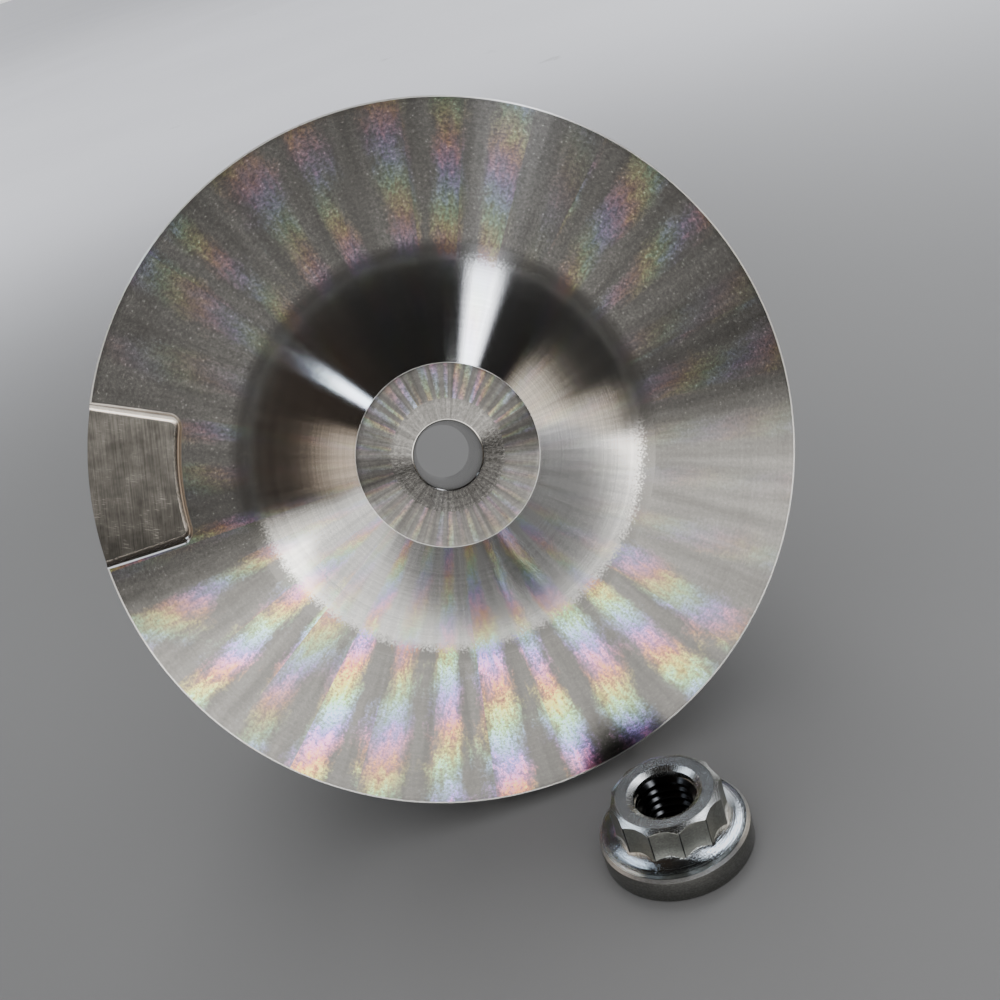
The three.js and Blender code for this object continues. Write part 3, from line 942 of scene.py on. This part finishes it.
studio = {
    "floorReach": 14.0,
    "floorZ": -0.00005,
    "floorPaintedShadow": (0.144, 0.144, 0.145),
    "floorFar": (0.64, 0.65, 0.70),
    "floorPaintedLight": (0.9, 0.89, 0.87),
    "paintedLightEdge": (-0.062, -0.088),      # how far out in front the floor turns to painted light
    "paintedLightSlant": 0.45,
    "leftPaintedShadeReach": (-0.16, -0.02),
    "leftPaintedShade": 0.76,
    "speckScale": 14.0,
    "speckDepth": 0.25,
    "paintedShadowPlace": (-0.07, -0.02, 0.0),    # middle of the painted shadow on the floor, and how far it reaches
    "paintedShadowReach": (0.1, 0.78),
    "roomLight": 1.2,
    "dark": (0.012, 0.0115, 0.011),
    "wall": (2.65, 2.6, 2.52),
    "wallSag": 0.22,                    # how the wall's upper edge drops to both sides, and how it tilts
    "wallTilt": -0.02,
    "wallAhead": 2.1,                   # how much brighter it is close to the wheel's axis, and from where
    "aheadFrom": (0.74, 0.9),
}

# Soft panels that only the metals mirror, in the wheel's own axes and in degrees: the direction round its
# axis with inner and outer half-widths, the tilts from its axis between which it lies, and its soft ends
panels = [
    {"round": 57.0, "widths": (1.5, 7.0), "tilts": (52, 100, 20), "colour": (6.0, 6.3, 6.9)},
    {"round": 128.0, "widths": (1.0, 3.6), "tilts": (78, 100, 14), "colour": (5.8, 6.7, 8.0)},
    {"round": 66.0, "widths": (2.0, 6.0), "tilts": (106, 122, 12), "colour": (3.8, 3.9, 4.0)},
    {"round": 116.0, "widths": (2.0, 6.0), "tilts": (114, 128, 12), "colour": (3.6, 3.7, 3.8)},
    {"round": 45.0, "widths": (15.0, 38.0), "tilts": (130, 165, 12), "colour": (1.2, 1.24, 1.28)},
    {"round": 140.0, "widths": (20.0, 40.0), "tilts": (125, 165, 14), "colour": (0.4, 0.42, 0.43)},
    {"round": 8.0, "widths": (6.0, 26.0), "tilts": (84, 110, 12), "colour": (1.45, 1.3, 1.1)},
    {"round": -18.0, "widths": (6.0, 24.0), "tilts": (62, 85, 18), "colour": (1.3, 1.17, 1.0)},
    {"round": -36.0, "widths": (10.0, 25.0), "tilts": (38, 62, 15), "colour": (1.4, 1.29, 1.13)},
    {"round": -158.0, "widths": (8.0, 22.0), "tilts": (38, 66, 15), "colour": (1.7, 1.65, 1.53)},
    {"round": -100.0, "widths": (45.0, 85.0), "tilts": (40, 66, 14), "colour": (1.2, 1.18, 1.13)},
    {"round": 165.0, "widths": (6.0, 22.0), "tilts": (84, 110, 14), "colour": (1.0, 0.83, 0.67)},
    {"round": 148.0, "widths": (15.0, 50.0), "tilts": (45, 80, 20), "colour": (0.02, 0.011, 0.005)},
    {"round": 95.0, "widths": (40.0, 95.0), "tilts": (14, 24, 8), "colour": (0.065, 0.063, 0.06)},
    {"round": 56.0, "widths": (5.0, 15.0), "tilts": (14, 30, 8), "colour": (0.5, 0.51, 0.54)},
]


def studioFloor():
    reach = studio["floorReach"]
    corners = [(x * reach, y * reach, studio["floorZ"]) for x, y in ((-1, -1), (1, -1), (1, 1), (-1, 1))]
    mesh = meshFrom("studioFloor", corners, [(0, 1, 2, 3)])
    material, tree, shader = newMaterial("palePaperPaintedShadowAndLight")
    place = add(tree, "ShaderNodeTexCoord").outputs["Object"]
    # painted shadow: the floor is darker close to the wheel, and darker still towards the left
    away = vectorCalc(tree, "LENGTH", vectorCalc(tree, "SUBTRACT", place, studio["paintedShadowPlace"]))
    near = spread(tree, away, *studio["paintedShadowReach"])
    near.node.interpolation_type = "SMOOTHERSTEP"
    cloud = noise(tree, place, 5.0, 3.0)
    shade = spread(tree, cloud, 0.3, 0.7, 0.97, 1.03)
    sides = add(tree, "ShaderNodeSeparateXYZ", {0: place}).outputs
    leftwards = spread(tree, sides[0], *studio["leftPaintedShadeReach"], studio["leftPaintedShade"], 1.0)
    close = dimmed(tree, studio["floorPaintedShadow"], leftwards)
    colour = blend(tree, "MIX", near, close, studio["floorFar"])
    # specks of dust, a few to a hand's breadth
    bent = vectorCalc(tree, "SCALE", noise(tree, place, 120.0, 2.0).node.outputs["Color"])
    bent.node.inputs["Scale"].default_value = 0.02
    bent = vectorCalc(tree, "ADD", place, bent)
    cells = add(tree, "ShaderNodeTexVoronoi", {"Vector": bent, "Scale": studio["speckScale"]})
    many = add(tree, "ShaderNodeSeparateColor", {0: cells.outputs["Color"]}).outputs[0]
    specks = times(tree, spread(tree, cells.outputs["Distance"], 0.1, 0.03),
                  spread(tree, many, 0.72, 0.76, 0.0, studio["speckDepth"]))
    shade = times(tree, shade, calc(tree, "SUBTRACT", 1.0, specks))
    # painted light: the floor turns pale out in front
    forward = calc(tree, "MULTIPLY_ADD", sides[0], studio["paintedLightSlant"], sides[1])
    front = spread(tree, forward, *studio["paintedLightEdge"])
    front.node.interpolation_type = "SMOOTHSTEP"
    colour = blend(tree, "MIX", front, colour, studio["floorPaintedLight"])
    colour = dimmed(tree, colour, shade)
    tree.links.new(colour, shader.inputs["Base Color"])
    shader.inputs["Roughness"].default_value = 0.5
    made = show("studioFloor", mesh, [material])


def studioWorld():
    world = bpy.data.worlds.new("studioWorld")
    bpy.context.scene.world = world
    world.use_nodes = True
    tree = world.node_tree
    tree.nodes.clear()
    way = add(tree, "ShaderNodeTexCoord").outputs["Generated"]
    local = add(tree, "ShaderNodeMapping", {"Vector": way, "Rotation": (wheelTurn, 0, 0)},
                vector_type="TEXTURE").outputs[0]
    parts = add(tree, "ShaderNodeSeparateXYZ", {0: local}).outputs
    # a pale wall low in front, which the lower half of the back disc mirrors
    aside = times(tree, calc(tree, "ABSOLUTE", parts[0]), studio["wallSag"])
    below = calc(tree, "MULTIPLY_ADD", parts[0], studio["wallTilt"], times(tree, parts[1], -1.0))
    below = calc(tree, "SUBTRACT", below, aside)
    wall = times(tree, spread(tree, below, -0.01, 0.04), spread(tree, parts[2], 0.1, 0.4))
    ahead = spread(tree, parts[2], *studio["aheadFrom"], 1.0, studio["wallAhead"])
    seen = dimmed(tree, studio["wall"], ahead)
    seen = blend(tree, "MIX", wall, studio["dark"], seen)
    flat = vectorCalc(tree, "NORMALIZE", combine(tree, parts[0], parts[1], 0.0))
    tilt = times(tree, calc(tree, "ARCCOSINE", parts[2]), 180 / pi)
    for panel in panels:
        a = radians(panel["round"])
        start, end, soft = panel["tilts"]
        inner, outer = panel["widths"]
        across = spread(tree, vectorCalc(tree, "DOT_PRODUCT", flat, (cos(a), sin(a), 0)),
                        cos(radians(outer)), cos(radians(inner)))
        across.node.interpolation_type = "SMOOTHSTEP"
        rising = spread(tree, tilt, start - soft, start)
        rising.node.interpolation_type = "SMOOTHSTEP"
        along = times(tree, rising, spread(tree, tilt, end, end + soft, 1.0, 0.0))
        seen = blend(tree, "ADD", times(tree, across, along), seen, panel["colour"])
    glossy = add(tree, "ShaderNodeLightPath").outputs["Is Glossy Ray"]
    colour = blend(tree, "MIX", glossy, (studio["roomLight"],) * 3, seen)
    back = add(tree, "ShaderNodeBackground", {"Color": colour, "Strength": 1.0})
    out = tree.nodes.new("ShaderNodeOutputWorld")
    tree.links.new(back.outputs[0], out.inputs[0])


def softLight(name, place, aim, size, power):
    data = bpy.data.lights.new(name, "AREA")
    data.shape = "RECTANGLE"
    data.size, data.size_y = size
    data.energy = power
    lamp = bpy.data.objects.new(name, data)
    bpy.context.scene.collection.objects.link(lamp)
    lamp.location = place
    lamp.rotation_mode = "QUATERNION"
    lamp.rotation_quaternion = (Vector(aim) - Vector(place)).to_track_quat("-Z", "Y")
    return lamp


studioFloor()
studioWorld()
softLight("behind", (0.1, 1.3, 2.0), (0, 0, 0.03), (1.3, 1.1), 30.0).visible_glossy = False

cameraView = {"place": (-0.002124, -0.161326, 0.118581), "azimuth": -2.58, "elevation": 27.11,
              "lean": 18.31, "focus": 1252.6, "frame": 1000.0, "sensor": 36.0}


def photoCamera():
    c = cameraView
    data = bpy.data.cameras.new("photoCamera")
    data.sensor_width = c["sensor"]
    data.lens = c["focus"] * c["sensor"] / c["frame"]
    data.clip_start, data.clip_end = 0.01, 50.0
    made = bpy.data.objects.new("photoCamera", data)
    bpy.context.scene.collection.objects.link(made)
    a, e, lean = radians(c["azimuth"]), radians(c["elevation"]), radians(c["lean"])
    ahead = Vector((-sin(a) * cos(e), cos(a) * cos(e), -sin(e)))
    level = ahead.cross(Vector((0, 0, 1))).normalized()
    top = level.cross(ahead)
    up = top * cos(lean) + level * sin(lean)
    right = ahead.cross(up)
    made.matrix_world = Matrix.Translation(c["place"]) @ Matrix((right, up, -ahead)).transposed().to_4x4()
    bpy.context.scene.camera = made


photoCamera()
print("studio made")
